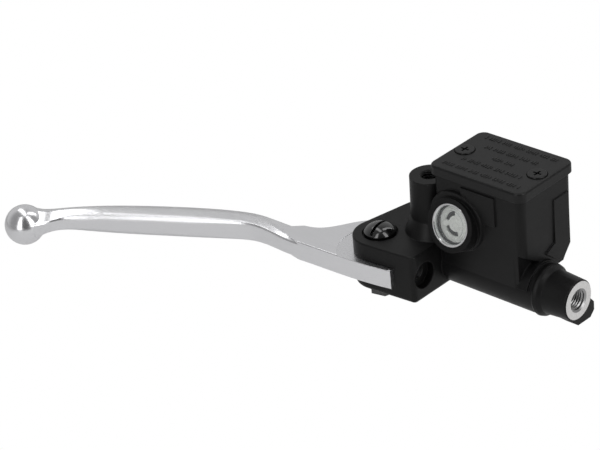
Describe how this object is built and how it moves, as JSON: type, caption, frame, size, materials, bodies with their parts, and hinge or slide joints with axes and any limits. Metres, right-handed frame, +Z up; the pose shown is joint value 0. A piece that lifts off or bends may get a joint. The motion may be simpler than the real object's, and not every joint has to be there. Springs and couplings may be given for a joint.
{
  "type": "brake master cylinder",
  "caption": "Handlebar brake master cylinder with square reservoir, round sight glass, ball-ended lever, mirror boss and bar clamp.",
  "frame": {"origin": "on the piston bore's axis, where the hose port's thread begins", "axes": "+X along the bore out of the hose port, +Y back to the handlebar, +Z up along the mirror boss, square to the reservoir cover"},
  "size_m": [0.2847, 0.156, 0.08],
  "materials": {
    "black_coat": "semi-matte powder coat on cast aluminium",
    "black_steel": "glossy black oxide on steel",
    "zinc": "zinc plated",
    "polished_alloy": "satin polished",
    "bronze": "sintered bronze",
    "rubber": "moulded rubber",
    "white_plastic": "moulded",
    "stainless": "bright",
    "bright_alloy": "bright turned",
    "clear": "clear moulded",
    "anodised": "hard anodised"
  },
  "bodies": {
    "housing": {"body": "black_coat", "clamp_cap": "black_coat", "clamp_screws": "black_steel", "cover": "black_coat", "cover_screws": "black_steel", "diaphragm": "rubber", "diaphragm_plate": "white_plastic", "baffle": "stainless", "pivot_screw": "black_steel", "pivot_nut": "black_steel", "sight_ring": "bright_alloy", "sight_lens": "clear", "sight_seal": "rubber", "sight_reflector": "white_plastic", "return_spring": "stainless", "stop_washer": "stainless", "circlip": "stainless", "dust_boot": "rubber"},
    "brake_lever": {"lever": "polished_alloy", "pivot_bush": "bronze"},
    "piston_set": {"piston": "anodised", "primary_cup": "rubber", "secondary_cup": "rubber", "spring_seat": "stainless"}
  },
  "joints": [
    {"name": "lever_pivot", "type": "hinge", "parent": "housing", "child": "brake_lever", "pos_m": [-0.1013, -0.0216, 0], "axis": [0, 0, -1], "range_deg": [0, 18]},
    {"name": "piston_slide", "type": "slide", "parent": "housing", "child": "piston_set", "axis": [1, 0, 0], "range_m": [0, 0.0068], "deforming": ["return_spring"]}
  ],
  "couplings": [
    {"joint": "piston_slide", "follows": "lever_pivot", "m_per_rad": 0.0216}
  ]
}
